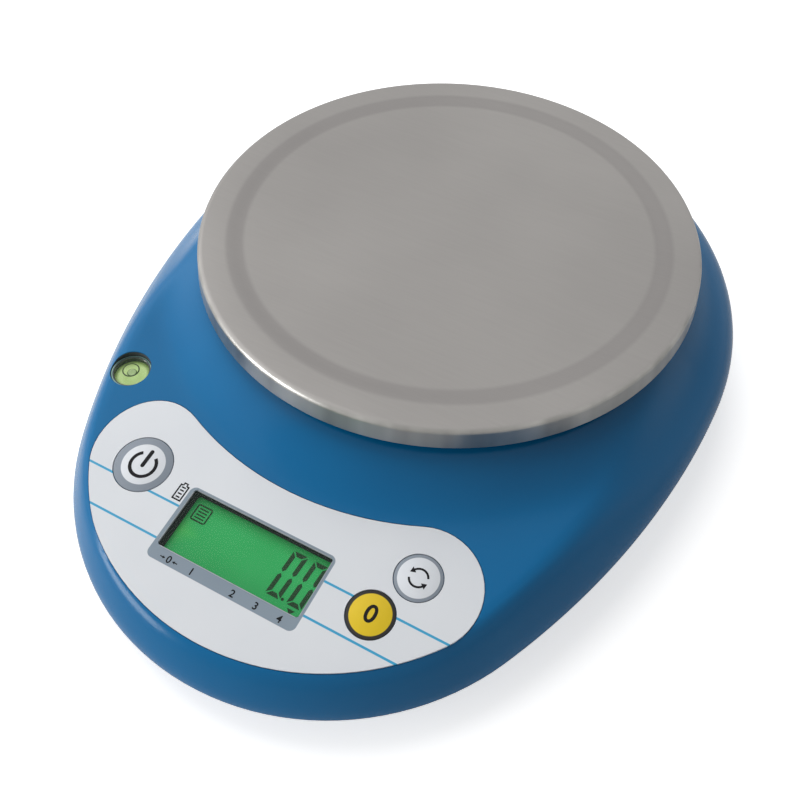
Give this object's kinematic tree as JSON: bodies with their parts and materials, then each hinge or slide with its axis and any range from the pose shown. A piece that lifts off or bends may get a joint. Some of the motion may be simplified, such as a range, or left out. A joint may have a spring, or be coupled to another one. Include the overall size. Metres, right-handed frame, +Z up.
{
  "type": "compact balance",
  "caption": "Compact weighing balance with a round lift-off steel pan on a load cell, a sloping control panel with keys and display, a bubble level and screw feet.",
  "frame": {"origin": "centre of the overall box, on the surface the feet stand on", "axes": "+Z up; +Y to the back, so the control panel faces -Y; +X to the user's right"},
  "size_m": [0.178, 0.2279, 0.049],
  "materials": {
    "blue_plastic": "satin",
    "pan_steel": "brushed",
    "panel_white": "satin",
    "key_white": "satin",
    "key_yellow": "satin",
    "clear_pane": "clear",
    "lcd_green": "gloss",
    "light_guide": "gloss",
    "white_plastic": "matte",
    "level_green": "gloss",
    "level_fluid": "clear",
    "beam_alloy": "milled",
    "gauge_coat": "matte",
    "plated_steel": "plated",
    "black_screw": "black oxide",
    "brass": "turned",
    "board_green": "solder mask",
    "board_black": "matte",
    "switch_grey": "matte",
    "plunger_black": "matte",
    "cable_grey": "matte",
    "lead_red": "matte",
    "cell_can": "plain sleeve",
    "spring_steel": "nickel plated",
    "carrier_grey": "matte",
    "pad_rubber": "matte",
    "foot_plastic": "matte"
  },
  "bodies": {
    "base": {"lower_housing": "blue_plastic", "upper_housing": "blue_plastic", "housing_screws": "black_screw", "foot_inserts": "brass", "load_cell": "beam_alloy", "gauge_cover": "gauge_coat", "beam_base_plate": "plated_steel", "beam_screws": "plated_steel", "overload_stop": "brass", "load_cell_cable": "cable_grey", "main_board": "board_green", "board_screws": "plated_steel", "board_parts": "board_black", "tact_switches": "switch_grey", "control_overlay": "panel_white", "lcd_window": "clear_pane", "lcd_panel": "lcd_green", "lcd_backlight": "light_guide", "lcd_holder": "white_plastic", "level_cup": "level_green", "level_liquid": "level_fluid", "level_lens": "clear_pane", "dc_inlet": "board_black", "batteries": "cell_can", "battery_contacts": "spring_steel", "battery_leads": "lead_red"},
    "platform": {"load_plate": "plated_steel", "load_plate_screws": "plated_steel", "pan_carrier": "carrier_grey", "carrier_screws": "plated_steel", "carrier_pads": "pad_rubber"},
    "pan": {"pan": "pan_steel"},
    "power_key": {"power_key": "key_white", "power_plunger": "plunger_black"},
    "mode_key": {"mode_key": "key_white", "mode_plunger": "plunger_black"},
    "zero_key": {"zero_key": "key_yellow", "zero_plunger": "plunger_black"},
    "battery_door": {"battery_door": "blue_plastic"},
    "foot_pad_front_left": {"foot_pad_front_left": "pad_rubber"},
    "foot_screw_front_left": {"foot_screw_front_left": "foot_plastic"},
    "foot_pad_front_right": {"foot_pad_front_right": "pad_rubber"},
    "foot_screw_front_right": {"foot_screw_front_right": "foot_plastic"},
    "foot_pad_rear_left": {"foot_pad_rear_left": "pad_rubber"},
    "foot_screw_rear_left": {"foot_screw_rear_left": "foot_plastic"},
    "foot_pad_rear_right": {"foot_pad_rear_right": "pad_rubber"},
    "foot_screw_rear_right": {"foot_screw_rear_right": "foot_plastic"}
  },
  "joints": [
    {"name": "weighing_travel", "type": "slide", "parent": "base", "child": "platform", "axis": [0, 0, -1], "range_m": [0, 0.00035], "stiffness_N_per_m": 140000, "deforming": ["load_cell"]},
    {"name": "pan_lift", "type": "slide", "parent": "platform", "child": "pan", "axis": [0, 0, 1], "range_m": [0, 0.02]},
    {"name": "power_press", "type": "slide", "parent": "base", "child": "power_key", "axis": [0, 0.1132, -0.9936], "range_m": [0, 0.00035], "stiffness_N_per_m": 3000},
    {"name": "mode_press", "type": "slide", "parent": "base", "child": "mode_key", "axis": [0, 0.1132, -0.9936], "range_m": [0, 0.00035], "stiffness_N_per_m": 3000},
    {"name": "zero_press", "type": "slide", "parent": "base", "child": "zero_key", "axis": [0, 0.1132, -0.9936], "range_m": [0, 0.00035], "stiffness_N_per_m": 3000},
    {"name": "door_swing", "type": "hinge", "parent": "base", "child": "battery_door", "pos_m": [0, 0.0079, 0.0076], "axis": [1, 0, 0], "range_deg": [0, 75]},
    {"name": "foot_height_front_left", "type": "slide", "parent": "base", "child": "foot_pad_front_left", "axis": [0, 0, -1], "range_m": [0, 0.004]},
    {"name": "foot_turn_front_left", "type": "hinge", "parent": "foot_pad_front_left", "child": "foot_screw_front_left", "pos_m": [-0.042, -0.065, 0.004], "axis": [0, 0, -1], "range_deg": [0, 1440]},
    {"name": "foot_height_front_right", "type": "slide", "parent": "base", "child": "foot_pad_front_right", "axis": [0, 0, -1], "range_m": [0, 0.004]},
    {"name": "foot_turn_front_right", "type": "hinge", "parent": "foot_pad_front_right", "child": "foot_screw_front_right", "pos_m": [0.042, -0.065, 0.004], "axis": [0, 0, -1], "range_deg": [0, 1440]},
    {"name": "foot_height_rear_left", "type": "slide", "parent": "base", "child": "foot_pad_rear_left", "axis": [0, 0, -1], "range_m": [0, 0.004]},
    {"name": "foot_turn_rear_left", "type": "hinge", "parent": "foot_pad_rear_left", "child": "foot_screw_rear_left", "pos_m": [-0.046, 0.069, 0.004], "axis": [0, 0, -1], "range_deg": [0, 1440]},
    {"name": "foot_height_rear_right", "type": "slide", "parent": "base", "child": "foot_pad_rear_right", "axis": [0, 0, -1], "range_m": [0, 0.004]},
    {"name": "foot_turn_rear_right", "type": "hinge", "parent": "foot_pad_rear_right", "child": "foot_screw_rear_right", "pos_m": [0.046, 0.069, 0.004], "axis": [0, 0, -1], "range_deg": [0, 1440]}
  ],
  "couplings": [
    {"joint": "foot_turn_front_left", "follows": "foot_height_front_left", "rad_per_m": 6283.1},
    {"joint": "foot_turn_front_right", "follows": "foot_height_front_right", "rad_per_m": 6283.1},
    {"joint": "foot_turn_rear_left", "follows": "foot_height_rear_left", "rad_per_m": 6283.1},
    {"joint": "foot_turn_rear_right", "follows": "foot_height_rear_right", "rad_per_m": 6283.1}
  ]
}
